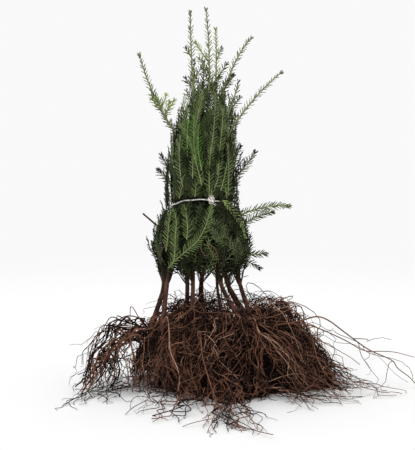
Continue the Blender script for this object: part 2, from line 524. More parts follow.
def limb_paths():
    """Points along every stem, leader and side shoot."""
    return [
        *(stem_places(name, 120) for name in STEMS),
        *(limb_path(*limb[:3], LEADER_POINTS) for limb in LEADERS.values()),
        *(limb_path(*limb[:3], 40) for limb in SIDE_SHOOTS.values()),
    ]


def ripple(places, size, seed):
    """Smooth noise from about -1 to 1: the mean of seven sines, each across a seeded way of its own."""
    chance = np.random.default_rng(seed)
    ways = unit(chance.normal(size=(7, 3))) * chance.uniform(0.6, 1.7, (7, 1)) * (TURN / size)
    return np.sin(places @ ways.T + chance.uniform(0, TURN, 7)).mean(axis=-1) * 1.8


def wander(chance, count, points, size, waves=(1.0, 4.0)):
    """Seeded bends for `count` strands: three sines along each, of random way, number of waves and phase."""
    share = np.linspace(0.0, 1.0, points)[None, None, :, None]
    ways = chance.normal(size=(3, count, 1, 3))
    number = chance.uniform(*waves, (3, count, 1, 1))
    phase = chance.uniform(0, TURN, (3, count, 1, 1))
    bends = (ways * (np.sin(TURN * number * share + phase) - np.sin(phase)) / number).sum(axis=0)
    return bends * np.asarray(size).reshape(-1, 1, 1)


# --- Surfaces: corners, four-sided faces, three-sided faces


def circle(side, up, sides):
    """Ways out from a line's points all round: cosine along one way and sine along the other."""
    turn = np.arange(sides) * (TURN / sides)
    return side[..., None, :] * np.cos(turn)[:, None] + up[..., None, :] * np.sin(turn)[:, None]


def frames_along(paths):
    """Ahead, side and up at each point of each path. Each side is the last one, made square to the path."""
    ahead = unit(np.gradient(paths, axis=1))
    flat = np.where(np.abs(ahead[:, 0, 2:3]) > 0.9, (1.0, 0.0, 0.0), (0.0, 0.0, 1.0))
    side = np.empty_like(paths)
    carried = unit(np.cross(flat, ahead[:, 0]))
    for step in range(paths.shape[1]):
        way = ahead[:, step]
        carried = unit(carried - way * (carried * way).sum(axis=-1, keepdims=True))
        side[:, step] = carried
    return ahead, side, np.cross(ahead, side)


def ring_quads(rows, sides, loop=False):
    """Faces between each ring of corners and the next, and in a loop between the last and the first."""
    here = np.arange(sides)
    there = (here + 1) % sides
    row = np.arange(rows if loop else rows - 1)[:, None]
    low, high = row * sides, (row + 1) % rows * sides
    return np.stack((low + here, low + there, high + there, high + here), -1).reshape(-1, 4)


def end_fans(rows, sides):
    """Faces from the two corners that follow the rings to the first ring and to the last."""
    here = np.arange(sides)
    there = (here + 1) % sides
    end = (rows - 1) * sides
    first, last = np.full(sides, rows * sides), np.full(sides, rows * sides + 1)
    low, high = (first, there, here), (last, end + here, end + there)
    return np.concatenate((np.stack(low, -1), np.stack(high, -1)))


def closed_grid(places):
    """Faces over a grid of rings, bottom ring first, with a fan to the middle of the first and last ring."""
    corners = (places.reshape(-1, 3), places[0].mean(axis=0)[None], places[-1].mean(axis=0)[None])
    return np.concatenate(corners), ring_quads(*places.shape[:2]), end_fans(*places.shape[:2])


def ring_grid(corners):
    """Faces over rings carried round a closed loop."""
    return corners.reshape(-1, 3), ring_quads(*corners.shape[:2], loop=True), np.zeros((0, 3), int)


def spread_faces(corners, quads, triangles):
    """One surface of many alike: the faces of the first, numbered on for each of the others."""
    start = (np.arange(len(corners)) * corners.shape[1])[:, None, None]
    return corners.reshape(-1, 3), (quads + start).reshape(-1, 4), (triangles + start).reshape(-1, 3)


def tubes(paths, radii, sides, relief=None):
    """Rings of `sides` corners carried along each path, each end drawn to a point a radius further on.

    `relief`, from ring places, gives what each corner's radius is multiplied by.
    """
    count, points = paths.shape[:2]
    radii = np.broadcast_to(radii, (count, points))
    ahead, side, up = frames_along(paths)
    out = circle(side, up, sides)
    reach = radii[:, :, None, None]
    if relief is not None:
        reach = reach * relief(paths[:, :, None] + out * reach)[..., None]
    rings = (paths[:, :, None] + out * reach).reshape(count, points * sides, 3)
    first = paths[:, :1] - ahead[:, :1] * radii[:, :1, None] * 0.6
    last = paths[:, -1:] + ahead[:, -1:] * radii[:, -1:, None]
    corners = np.concatenate((rings, first, last), axis=1)
    return spread_faces(corners, ring_quads(points, sides), end_fans(points, sides))


def needle_surface(feet, ways, faces_up, lengths, half_widths, bend):
    """Flat pointed needles: a section of two edges and a keel at two places, and a point at each end.

    Each bends towards its upper side by `bend` times its length times the square of the share.
    """
    across = unit(np.cross(ways, faces_up))
    up = np.cross(across, ways)
    lengths, half, bend = lengths[:, None], half_widths[:, None], bend[:, None]

    def place(share, aside, rise):
        middle = feet + ways * lengths * share + up * lengths * bend * share**2
        return middle + across * half * aside + up * half * rise

    rows = [place(0.0, 0.0, 0.0)]
    for share, width in NEEDLE_SECTIONS:
        rows += [place(share, -width, 0.0), place(share, 0.0, NEEDLE_KEEL), place(share, width, 0.0)]
    rows.append(place(1.0, 0.0, 0.0))
    quads = np.array(((1, 2, 5, 4), (2, 3, 6, 5), (3, 1, 4, 6)))
    triangles = np.array(((0, 2, 1), (0, 3, 2), (0, 1, 3), (7, 4, 5), (7, 5, 6), (7, 6, 4)))
    return spread_faces(np.stack(rows, axis=1), quads, triangles)


def joined(surfaces):
    """Many surfaces as one."""
    corners, quads, triangles = zip(*surfaces)
    starts = np.cumsum([0] + [len(places) for places in corners])
    return (
        np.concatenate(corners),
        np.concatenate([faces + start for faces, start in zip(quads, starts)]),
        np.concatenate([faces + start for faces, start in zip(triangles, starts)]),
    )


def mesh_object(name, surface, material, smooth):
    """A surface as a mesh object in the scene."""
    corners, quads, triangles = surface
    mesh = bpy.data.meshes.new(name)
    loops = np.concatenate((quads.ravel(), triangles.ravel()))
    sizes = np.concatenate((np.full(len(quads), 4), np.full(len(triangles), 3)))
    mesh.vertices.add(len(corners))
    mesh.vertices.foreach_set("co", corners.astype(np.float32).ravel())
    mesh.loops.add(len(loops))
    mesh.loops.foreach_set("vertex_index", loops.astype(np.int32))
    mesh.polygons.add(len(sizes))
    mesh.polygons.foreach_set("loop_start", (np.cumsum(sizes) - sizes).astype(np.int32))
    mesh.update(calc_edges=True)
    mesh.shade_smooth() if smooth else mesh.shade_flat()
    mesh.materials.append(material)
    return in_scene(name, mesh)


def in_scene(name, data):
    """A new object of the scene that shows a mesh, light or camera."""
    thing = bpy.data.objects.new(name, data)
    bpy.context.scene.collection.objects.link(thing)
    return thing


def add_piece(name, surface, material, nodes, smooth=True):
    """Makes a surface a piece that rides on the plant and stands for the given nodes."""
    piece = mesh_object(name, surface, material, smooth)
    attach(piece, BODY)
    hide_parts(*nodes)


# --- Materials


def add_node(tree, kind, inputs, **settings):
    """A shader node with its settings. Each input is given a value, or the socket that feeds it."""
    node = tree.nodes.new(f"ShaderNode{kind}")
    for name, value in settings.items():
        setattr(node, name, value)
    feed(tree, node, inputs)
    return node


def feed(tree, node, inputs):
    """Sets or links a node's inputs."""
    for name, value in inputs.items():
        if isinstance(value, bpy.types.NodeSocket):
            tree.links.new(value, node.inputs[name])
        else:
            node.inputs[name].default_value = value


def mottle_group():
    """Two colours, dealt by noise of one size and darkened by finer noise, with a roughness and a height."""
    group = bpy.data.node_groups.get("Mottle")
    if group:
        return group
    group = bpy.data.node_groups.new("Mottle", "ShaderNodeTree")
    for side, kind, names in (
        ("INPUT", "Vector", ("Place",)),
        ("INPUT", "Color", ("Colour", "Second Colour")),
        ("INPUT", "Float", ("Scale", "Share", "Depth", "Roughness")),
        ("OUTPUT", "Color", ("Colour",)),
        ("OUTPUT", "Float", ("Roughness", "Height")),
    ):
        for name in names:
            group.interface.new_socket(name, in_out=side, socket_type=f"NodeSocket{kind}")
    given, out = group.nodes.new("NodeGroupInput").outputs, group.nodes.new("NodeGroupOutput")
    place, scale = given["Place"], given["Scale"]
    coarse = add_node(group, "TexNoise", {"Detail": 4.0, "Vector": place, "Scale": scale})
    finer = add_node(group, "Math", {1: 5.3, 0: scale}, operation="MULTIPLY")
    fine = add_node(group, "TexNoise", {"Detail": 2.0, "Vector": place, "Scale": finer.outputs[0]})
    part = {"From Min": 0.35, "From Max": 0.68, "Value": coarse.outputs["Fac"], "To Max": given["Share"]}
    part = add_node(group, "MapRange", part, interpolation_type="SMOOTHSTEP")
    two = {"Factor": part.outputs["Result"], "A": given["Colour"], "B": given["Second Colour"]}
    two = add_node(group, "Mix", two, data_type="RGBA")
    centred = add_node(group, "Math", {1: 0.5, 0: fine.outputs["Fac"]}, operation="SUBTRACT")
    shade = {2: 1.0, 0: centred.outputs[0], 1: given["Depth"]}
    shade = add_node(group, "Math", shade, operation="MULTIPLY_ADD")
    shaded = {0: two.outputs["Result"], "Scale": shade.outputs[0]}
    shaded = add_node(group, "VectorMath", shaded, operation="SCALE")
    rough = {0: given["Roughness"], 1: shade.outputs[0]}
    rough = add_node(group, "Math", rough, operation="MULTIPLY", use_clamp=True)
    colour, height = shaded.outputs["Vector"], fine.outputs["Fac"]
    feed(group, out, {"Colour": colour, "Roughness": rough.outputs[0], "Height": height})
    return group


def mottled(name, colour, second, scale, share, roughness, bump, depth=1.2, gloss=0.06, stretch=(1.0,) * 3):
    """A material whose colour, gloss and fine relief vary by the Mottle group, on Object coordinates.

    The second colour is given, or is the first made lighter by a factor. Made on first use.
    """
    material = bpy.data.materials.get(name)
    if material:
        return material
    if isinstance(second, float):
        second = [min(1.0, part * second) for part in colour]
    material = bpy.data.materials.new(name)
    material.use_nodes = True
    tree = material.node_tree
    place = add_node(tree, "TexCoord", {}).outputs["Object"]
    place = add_node(tree, "Mapping", {"Scale": stretch, "Vector": place}).outputs["Vector"]
    given = {"Place": place, "Colour": (*colour, 1.0), "Second Colour": (*second, 1.0), "Scale": scale}
    mottle = tree.nodes.new("ShaderNodeGroup")
    mottle.node_tree = mottle_group()
    feed(tree, mottle, {**given, "Share": share, "Depth": depth, "Roughness": roughness})
    relief = {"Strength": bump, "Distance": 0.0004, "Height": mottle.outputs["Height"]}
    relief = add_node(tree, "Bump", relief)
    finish = {"Base Color": mottle.outputs["Colour"], "Roughness": mottle.outputs["Roughness"]}
    finish.update({"Specular IOR Level": gloss, "Normal": relief.outputs["Normal"]})
    feed(tree, tree.nodes["Principled BSDF"], finish)
    material.diffuse_color = (*colour, 1.0)
    return material


# --- Stems


def bark_relief(height):
    """Long ridges, broken by flakes, as what a radius is multiplied by."""

    def relief(places):
        ridges = ripple(places * (1.0, 1.0, 0.22), 0.0060, 21)
        flakes = np.maximum(ripple(places * (1.0, 1.0, 0.5), 0.0085, 22), 0.0)
        return 1.0 + height * (0.45 * ridges + 0.7 * flakes + 0.5 * ripple(places, 0.030, 23))

    return relief


def stem_surface(places, radii, relief, flare=FLARE, count=150, sides=18):
    """A tube along a curve whose radius falls evenly and flares at the foot by the eighth power."""
    share = np.linspace(0.0, 1.0, count)
    radii = (radii[0] + (radii[1] - radii[0]) * share) * (1 + flare * (1 - share) ** 8)
    return tubes(smooth_path(metres(places), count)[None], radii, sides, relief)


class YEW_OT_stems(bpy.types.Operator):
    """Nine bark-relief stems and the cut twig"""

    bl_idname = "yew.stems"
    bl_label = "Stems"

    def execute(self, context):
        wood = context.scene.yew_wood
        bark = mottled(
            "yew_bark", wood.bark, wood.flake, scale=90.0, share=0.85, roughness=0.78, bump=0.9,
            stretch=(1.0, 1.0, 0.3),
        )
        relief = bark_relief(wood.relief)
        for name, (foot, tip, *places) in STEMS.items():
            surface = stem_surface(places, metres((foot, tip), TENTHS) * SLIM, relief)
            add_piece(f"{name}_bark", surface, bark, [name])
        foot, tip, *places = CUT_TWIG
        surface = stem_surface(places, metres((foot, tip), TENTHS), relief, flare=0.0, count=40, sides=10)
        add_piece("cut_twig_left_bark", surface, bark, ["cut_twig_left"])
        return {"FINISHED"}


# --- Foliage


def from_axis(places):
    """The way out of the crown at each place."""
    out = places - (CROWN_AXIS_X, 0.0, 0.0)
    out[..., 2] = 0.0
    return unit(out)


def to_front(places):
    """The way to the plant's front, a little upwards, which its free shoots' needles face."""
    return np.broadcast_to((0.0, -0.96, 0.28), places.shape)


class Foliage:
    """Twig tubes and needles of one part of the plant, kept apart by colour until they become pieces."""

    def __init__(self, crown, seed):
        self.crown = crown
        self.chance = np.random.default_rng((SEED, seed))
        self.twigs = {"twig": [], "green": [], "bare": []}
        self.needles = {kind: [] for kind in NEEDLE_GLOSS}

    def add_twigs(self, wood, paths, foot_radius, tip_radius, sides=3):
        """Tubes that taper evenly from foot to tip."""
        radii = foot_radius + (tip_radius - foot_radius) * np.linspace(0.0, 1.0, paths.shape[1])
        self.twigs[wood].append(tubes(paths, radii, sides))

    def add_needles(self, kinds, paths, start, spacing, size, ranked, lean, keep, outward=from_axis):
        """Needles along each path, one for each `spacing`, turned about it and leaning ahead.

        `ranked` needles lie left and right of `outward`. The others go round the twig by the golden angle,
        drawn towards the two sides by a share of the sine of twice the turn. They shorten towards the
        twig's tip, and their upper faces look `outward`. `keep` drops those that would leave their space.
        """
        chance, crown = self.chance, self.crown
        lengths = np.linalg.norm(np.diff(paths, axis=1), axis=-1).sum(axis=1)
        counts = np.maximum((lengths * (1 - start) / spacing).astype(int), 2)
        owner = np.repeat(np.arange(len(paths)), counts)
        count = len(owner)
        order = np.arange(count) - np.repeat(np.cumsum(counts) - counts, counts)
        share = start + (1 - start) * (order + chance.uniform(0.35, 0.65, count)) / counts[owner]
        at = share * (paths.shape[1] - 1)
        low = np.minimum(at.astype(int), paths.shape[1] - 2)
        part = (at - low)[:, None]
        foot = paths[owner, low] * (1 - part) + paths[owner, low + 1] * part
        ahead = unit(paths[owner, low + 1] - paths[owner, low])
        out = outward(foot)
        out = unit(out - ahead * (out * ahead).sum(axis=-1, keepdims=True))
        if ranked:
            turn = np.where(order % 2, 1.0, -1.0) * RANK_TURN + chance.normal(0, 0.20, count)
        else:
            turn = order * GOLDEN_ANGLE + chance.normal(0, 0.25, count)
            turn += 0.34 * np.sin(2 * turn)
        turn = turn[:, None]
        aside = out * np.cos(turn) + np.cross(ahead, out) * np.sin(turn)
        angle = math.radians(lean) * (1.0 - 0.45 * share**6) + chance.normal(0, 0.07, count)
        angle = np.clip(angle, 0.2, 1.4)[:, None]
        way = unit(ahead * np.cos(angle) + aside * np.sin(angle))
        upper = out + 0.4 * (ahead * np.sin(angle) - aside * np.cos(angle))
        upper += chance.normal(0, 0.22, upper.shape)
        long = crown.needle_length * size * chance.uniform(*NEEDLE_LENGTHS, count)
        long *= np.interp(share, *NEEDLE_TAPER)
        long *= keep(foot, way, long)
        half = crown.needle_width / 2 * np.sqrt(size) * chance.uniform(*NEEDLE_WIDTHS, count)
        bend = chance.uniform(*NEEDLE_BENDS, count)
        shown = long > SHORTEST_NEEDLE * crown.needle_length * size
        for kind, made in self.needles.items():
            chosen = shown & (np.asarray(kinds)[owner] == kind)
            if chosen.any():
                parts = (part[chosen] for part in (foot, way, upper, long, half, bend))
                made.append(needle_surface(*parts))

    def add_pieces(self, part, nodes):
        """Makes one piece of each kind of twig and of needle."""
        for kind, made in self.twigs.items():
            if made:
                colour = getattr(bpy.context.scene.yew_wood, kind)
                finish = {"scale": 120.0, "share": 0.7, "roughness": 0.6, "bump": 0.5}
                skin = mottled(f"yew_{kind}_skin", colour, 1.6, **finish)
                add_piece(f"{part}_{kind}s", joined(made), skin, nodes)
        for kind, made in self.needles.items():
            if made:
                colour, gloss = getattr(self.crown, kind), NEEDLE_GLOSS[kind]
                wax = {"scale": 60.0, "share": 0.6, "roughness": 0.42, "bump": 0.25, "gloss": gloss}
                leaf = mottled(f"yew_needles_{kind}", colour, 1.7, **wax)
                add_piece(f"{part}_needles_{kind}", joined(made), leaf, nodes, smooth=False)


def limb_clearance(places, limbs):
    """Distance from each place to the nearest point of any limb, one limb at a time."""
    nearest = np.full(len(places), 1.0)
    for path in limbs:
        low, high = path.min(axis=0) - 0.01, path.max(axis=0) + 0.01
        near = np.flatnonzero(((places > low) & (places < high)).all(axis=-1))
        if len(near):
            gaps = np.linalg.norm(places[near, None] - path[None], axis=-1).min(axis=1)
            nearest[near] = np.minimum(nearest[near], gaps)
    return nearest


def underside(angle):
    """Level of the crown's ragged underside, which rises towards the front."""
    return LOWER_LEVELS[0] + UNDERSIDE_RISE * np.clip(-np.sin(angle), 0.0, 1.0) ** 2


def crown_keeper(low, high, limbs=(), room=ROOM):
    """How much of a needle stays: all, six tenths, or none where it would leave the space or touch a limb.

    It may pass under the twine, and at the flanks over it, but not through it.
    """

    def fits(foot, way, long):
        free = np.ones(len(foot), bool)
        for share in (0.4, 0.7, 1.0):
            places = foot + way * (long * share)[:, None]
            angle, radius, level = crown_coordinates(places)
            outer = np.where(np.abs(angle - TWINE_SEEN) < TWINE_SEEN_WIDTH, np.inf, TWINE_OUTER)
            crossing = np.abs(level - TIE_LEVEL) < TIE_BAND
            free &= ~(crossing & (radius > TWINE_INNER) & (radius < outer))
            free &= (level > low(angle)) & (level < high) & (radius < along(CROWN_OUTLINE, level) + room)
            free &= limb_clearance(places, limbs) > LIMB_ROOM
        return free

    def keep(foot, way, long):
        return np.where(fits(foot, way, long), 1.0, np.where(fits(foot, way, long * 0.6), 0.6, 0.0))

    return keep


def surface_twigs(feet, angle, turned, level, length, spread, bulge, points=14):
    """Twigs that leave their feet and bend up along the crown's outline, or along a share of it."""
    share = np.linspace(0.0, 1.0, points)
    here = level[:, None] + length[:, None] * share
    radius = (along(CROWN_OUTLINE, here) - TWIG_DEPTH) * spread[:, None] + bulge[:, None] * share**2
    sway = 0.06 * np.sin(8 * share + level[:, None] * 90)
    over = crown_point(angle[:, None] + turned[:, None] * share + sway, radius, here)
    part = np.clip(share / LEAVING_SHARE, 0.0, 1.0)
    part = (part * part * (3 - 2 * part))[None, :, None]
    return feet[:, None] * (1 - part) + over * part


def nearest_stem_feet(targets, levels):
    """For each target, the point of the nearest stem at the given level."""
    paths = [stem_places(name, 80).T for name in STEMS]
    feet = np.stack([np.stack([np.interp(levels, path[2], row) for row in path], axis=-1) for path in paths])
    nearest = np.linalg.norm(feet - targets[None], axis=-1).argmin(axis=0)
    return feet[nearest, np.arange(len(targets))]


def dealt_kinds(chance, angle, level, spread):
    """The needles' green for each spray: fresher towards the front and the top, darker inside and behind."""
    front = np.clip(np.cos(angle + math.radians(112)), 0.0, 1.0)
    light = 0.36 + 0.16 * front + 0.5 * (level - 0.34) * front + chance.normal(0, 0.24, len(angle))
    light += 0.45 * np.clip((level - 0.49) / 0.07, 0.0, 1.0) + 0.10 * (level < 0.32)
    inner = (spread < 0.95) & (level < 0.52)
    limits = [inner, light < 0.58, light < 0.90, light < 1.30]
    return np.select(limits, ["shade", "dark", "mid", "fresh"], "tip")


def grow_crown(foliage, lower, levels, first_middle, grid, masses, limbs):
    """The twigs of one storey of masses: a jittered grid of them in each, and side twigs on each.

    The grid's columns are dealt in turn to the surface, a layer under it and one deep inside.
    """
    crown, chance = foliage.crown, foliage.chance
    (low, high), (columns, rows) = levels, grid
    each = columns * rows
    count = each * masses
    column, row = np.arange(count) % each % columns, np.arange(count) % each // columns
    middle = np.repeat(first_middle + np.arange(masses) * (TURN / masses), each)
    place_in_row = (column + 0.3 + 0.4 * (row % 2)) / columns
    angle = middle + math.pi / masses * (2 * place_in_row - 1) + chance.uniform(-0.05, 0.05, count)
    angle = (angle + math.pi) % TURN - math.pi
    length = crown.twig_length * chance.uniform(0.70, 1.15, count)
    part = np.clip((row + chance.uniform(-0.45, 0.45, count)) / (rows - 1), 0.0, 1.0)
    first = underside(angle) + 0.004 if lower else np.full(count, low)
    top = high - 0.004 - (0.0 if lower else 0.150 * chance.uniform(0, 1, count))
    level = first + (top - first - length) * part
    layer = LAYER_ORDER[(column + row) % len(LAYER_ORDER)]
    spread = LAYER_SPREAD[layer]
    rough_side = np.cos(angle - ROUGH_HEADING) > 0.6
    bulge = chance.normal(0.002 + 0.003 * rough_side, 0.012, count).clip(-0.012, 0.024)
    bulge = np.where(layer == 0, bulge, 0.0)
    turned = chance.normal(0, 1.0, count) * (np.where(rough_side, 0.80, 0.38) if lower else 0.20)
    target = crown_point(angle, along(CROWN_OUTLINE, level) * 0.7, level)
    feet = nearest_stem_feet(target, np.clip(level - 0.030, 0.185, 0.535))
    kinds = dealt_kinds(chance, angle, level + length / 2, spread)
    paths = surface_twigs(feet, angle, turned, level, length, spread, bulge)
    keep = crown_keeper(underside if lower else lambda angle: low, high, limbs)
    kinds = np.where(rough_side & (kinds == "mid") & lower, "olive", kinds)
    wild = chance.uniform(0, 1, count) < (np.where(rough_side, 0.85, 0.25) if lower else 0.12)
    size, lean = (0.98, 52) if lower else (0.86, 44)

    def dress(owner, twigs, start, share):
        """Needles in two ranks on most twigs, and in all directions on the wild ones."""
        for ranked in (True, False):
            for inner in (True, False):
                chosen = np.flatnonzero((wild[owner] != ranked) & ((kinds[owner] == "shade") == inner))
                if len(chosen):
                    way = (share * size, True, lean) if ranked else (share * 0.80, False, 58)
                    apart = crown.needle_spacing * (INNER_SPACING if inner else 1.0)
                    foliage.add_needles(kinds[owner[chosen]], twigs[chosen], start, apart, *way, keep)

    foliage.add_twigs("twig", paths, crown.twig_radius, crown.twig_radius * 0.45)
    dress(np.arange(count), paths, 0.16, 1.0)

    for side in (-1.0, 1.0):
        chosen = np.flatnonzero(chance.uniform(0, 1, count) < LAYER_FORKS[layer])
        at = chance.integers(4, 11, len(chosen))
        fork_level = level[chosen] + length[chosen] * at / (paths.shape[1] - 1)
        short = np.minimum(chance.uniform(0.028, 0.052, len(chosen)), high - fork_level - 0.004)
        short = np.maximum(short, 0.012)
        aside = side * chance.uniform(0.16, 0.42, len(chosen)) * short / 0.05
        raised = bulge[chosen] + chance.uniform(0, 0.006, len(chosen))
        heading = angle[chosen] + turned[chosen] * at / (paths.shape[1] - 1)
        forks = paths[chosen, at]
        twigs = surface_twigs(forks, heading, aside, fork_level, short, spread[chosen], raised, 8)
        foliage.add_twigs("twig", twigs, crown.twig_radius * 0.6, crown.twig_radius * 0.35)
        dress(chosen, twigs, 0.10, 0.88)


def grow_sprigs(foliage, count, levels, lengths, size, fresher):
    """Slender sprigs evenly round the crown that come out of it and lie on its surface.

    The greens are lighter than the crown's own, and darker again at the rear.
    """
    crown, chance = foliage.crown, foliage.chance
    angle = (np.arange(count) * GOLDEN_ANGLE + chance.uniform(0, 0.3, count)) % TURN - math.pi
    level = chance.uniform(*levels, count)
    length = np.minimum(chance.uniform(*lengths, count), 0.606 - level)
    feet = crown_point(angle, along(CROWN_OUTLINE, level) - 0.026, level - 0.012)
    rough_side = (np.cos(angle - ROUGH_HEADING) > 0.6) & (level < TIE_LEVEL)
    turned = chance.normal(0, 1.0, count) * np.where(rough_side, 0.60, 0.18)
    bulge = chance.uniform(0.004, 0.014, count)
    paths = surface_twigs(feet, angle, turned, level, length, np.ones(count), bulge)
    light = chance.uniform(0, 1, count) + 0.25 * (np.sin(angle) < 0.1) + fresher
    kinds = np.select([light < 0.25, light < 0.80, light < 1.22], ["dark", "mid", "fresh"], "tip")
    rough_kinds = np.select([light < 0.10, light < 0.60], ["dark", "olive"], "pale")
    kinds = np.where(rough_side, rough_kinds, kinds)
    keep = crown_keeper(lambda angle: LOWEST_LEVEL, UPPER_LEVELS[1])
    light = np.isin(kinds, LIGHT_KINDS)
    for wood, chosen in (("green", light), ("twig", ~light)):
        foliage.add_twigs(wood, paths[chosen], crown.twig_radius * 0.8, crown.twig_radius * 0.4)
    foliage.add_needles(
        kinds, paths, start=0.06, spacing=crown.needle_spacing, size=size, ranked=True, lean=48, keep=keep
    )


def grow_skirt(foliage, count, limbs):
    """Short twigs round the crown's underside: from the stems outwards, bowed up, with drooping tips."""
    crown, chance = foliage.crown, foliage.chance
    angle = (np.arange(count) + chance.uniform(0, 1, count)) * (TURN / count) - math.pi
    level = underside(angle) + chance.uniform(0.006, 0.046, count)
    reach = along(CROWN_OUTLINE, level + 0.012) * chance.uniform(0.72, 1.0, count) - 0.008
    tips = crown_point(angle, reach, level)
    feet = nearest_stem_feet(tips, level + 0.016)
    share = np.linspace(0.0, 1.0, 12)[:, None]
    bow = np.array((0.0, 0.0, 0.012)) * (4 * share * (1 - share))
    paths = feet[:, None] + (tips - feet)[:, None] * share + bow
    paths = paths + wander(chance, count, 12, 0.003)
    kinds = chance.choice(("shade", "dark", "olive"), count, p=(0.45, 0.40, 0.15))
    keep = crown_keeper(lambda angle: underside(angle) - 0.010, LOWER_LEVELS[1], limbs, room=0.014)
    foliage.add_twigs("twig", paths, crown.twig_radius * 0.8, crown.twig_radius * 0.4)
    apart = crown.needle_spacing * 0.8
    foliage.add_needles(kinds, paths, start=0.2, spacing=apart, size=0.84, ranked=False, lean=56, keep=keep)


class YEW_OT_crown(bpy.types.Operator):
    """The crown's dark inside, its twigs and its needles, below and above the twine"""

    bl_idname = "yew.crown"
    bl_label = "Crown"

    def execute(self, context):
        crown, limbs, masses = context.scene.yew_crown, limb_paths(), []
        for part, levels, first_middle, grid, sides in STOREYS:
            foliage = Foliage(crown, SEEDS[part])
            nodes = [f"foliage_{part}_{side}" for side in sides]
            grow_crown(foliage, part == "lower", levels, first_middle, grid, len(nodes), limbs)
            if part == "lower":
                grow_skirt(foliage, SKIRT_TWIGS, limbs)
            grow_sprigs(foliage, *SPRIGS[part])
            foliage.add_pieces(f"crown_{part}", nodes)
            masses += nodes
        self.add_front_shoots(crown, masses)
        self.add_inside(crown, masses)
        return {"FINISHED"}

    def add_front_shoots(self, crown, nodes):
        """The longer shoots that lie over the crown's front, each through its own places."""
        foliage = Foliage(crown, SEEDS["front"])
        keep = crown_keeper(lambda angle: LOWEST_LEVEL, FRONT_TOP, room=0.020)
        shoots = [(kind, np.array(places) / (1, MILLIMETRES)) for kind, *places in FRONT_SHOOTS]
        for kind, places in (*shoots, *self.waist_shoots()):
            heading, level = places.T
            depth = FRONT_DEPTHS.get(kind, FRONT_COMMON_DEPTH)
            if level[0] > TIE_LEVEL and abs(heading[0]) > 150:
                depth = LEFT_FLANK_DEPTH
            radius = along(CROWN_OUTLINE, level) - depth
            radius = np.maximum(radius, TIE_RADIUS + 0.0035 - 9.0 * (level - TIE_LEVEL) ** 2)
            paths = smooth_path(crown_point(np.radians(heading), radius, level), 40)[None]
            foliage.add_twigs("green" if kind in LIGHT_KINDS else "twig", paths, *FRONT_RADII, sides=5)
            spacing, size = (0.0025, 0.86) if level[0] < TIE_LEVEL else (0.0028, 0.74)
            foliage.add_needles(
                [kind], paths, start=0.04, spacing=spacing, size=size, ranked=True, lean=50, keep=keep
            )
        for radius, *places in BARE_TWIGS:
            radius = metres(radius, TENTHS)
            foliage.add_twigs("bare", smooth_path(metres(places), 30)[None], radius, radius * 0.6, sides=6)
        foliage.add_pieces("crown_front", nodes)

    def waist_shoots(self):
        """Kind and places of each short shoot on the twine: level tops that rise, fall and lean by sines."""
        for index, heading in enumerate(WAIST_HEADINGS):
            lean = 5 * math.sin(2.4 * index)
            top = 0.398 + 0.010 * math.sin(1.7 * index + 1)
            places = (heading, 0.371), (heading + lean * 0.4, 0.384), (heading + lean, top)
            yield WAIST_KINDS[index % len(WAIST_KINDS)], np.array(places)

    def add_inside(self, crown, nodes):
        """A rugged dark body, spun from the table of inner radii and pushed in and out by noise."""
        levels = np.linspace(CORE_OUTLINE[0, 0], CORE_OUTLINE[-1, 0], CORE_RINGS)[:, None]
        angle = np.arange(CORE_SIDES) * (TURN / CORE_SIDES)
        radius = along(CORE_OUTLINE, levels)
        places = crown_point(angle, radius, levels)
        radius = radius * (1 + 0.16 * ripple(places, 0.018, 31) + 0.10 * ripple(places, 0.008, 32))
        shade = mottled("crown_inside", crown.inside, 2.2, scale=160.0, share=0.8, roughness=0.9, bump=1.0)
        surface = closed_grid(crown_point(angle, radius, levels))
        add_piece("crown_inside", surface, shade, nodes)


def grow_shoot(foliage, path, kind, radii, spacing, size):
    """A green shoot with needles all round it and a tuft of short ones at its tip."""
    foliage.add_twigs("green", path[None], *radii, sides=6)
    free = {"ranked": False, "keep": all_kept, "outward": to_front}
    foliage.add_needles([kind], path[None], start=0.03, spacing=spacing, size=size, lean=46, **free)
    kind, tip, size = "pale" if kind == "fresh" else kind, path[None, -3:], size * 0.66
    foliage.add_needles([kind], tip, start=0.1, spacing=0.0009, size=size, lean=34, **free)


def all_kept(foot, way, long):
    """Keeps every needle whole."""
    return np.ones(len(foot))


class YEW_OT_leaders(bpy.types.Operator):
    """The long shoots at the crown's top"""

    bl_idname = "yew.leaders"
    bl_label = "Leaders"

    def execute(self, context):
        foliage = Foliage(context.scene.yew_crown, SEEDS["leaders"])
        for foot, tip, bow, kind, *twigs in LEADERS.values():
            path = limb_path(foot, tip, bow, LEADER_POINTS)
            grow_shoot(foliage, path, kind, LEADER_RADII, spacing=0.0026, size=0.74)
            for percent, heading, length, twig_kind in twigs:
                fork = path[round(percent / 100 * (LEADER_POINTS - 1))]
                twig = self.twig_path(fork, math.radians(heading), metres(length))
                grow_shoot(foliage, twig, twig_kind, LEADER_TWIG_RADII, spacing=0.0020, size=0.78)
        foliage.add_pieces("leaders", list(LEADERS))
        return {"FINISHED"}

    def twig_path(self, foot, heading, length):
        """A short twig that leaves a leader sideways and bends upwards."""
        share = np.linspace(0.0, 1.0, 16)[:, None]
        side = np.array((math.cos(heading), math.sin(heading), 0.0))
        return foot + (side * 0.62 * share**0.8 + np.array((0.0, 0.0, 0.8)) * share) * length


class YEW_OT_side_shoots(bpy.types.Operator):
    """The shoots at the crown's flanks"""

    bl_idname = "yew.side_shoots"
    bl_label = "Side shoots"

    def execute(self, context):
        foliage = Foliage(context.scene.yew_crown, SEEDS["side_shoots"])
        for *limb, kind in SIDE_SHOOTS.values():
            grow_shoot(foliage, limb_path(*limb, 32), kind, SHOOT_RADII, spacing=0.0017, size=0.90)
        foliage.add_pieces("side_shoots", list(SIDE_SHOOTS))
        return {"FINISHED"}


# --- Roots


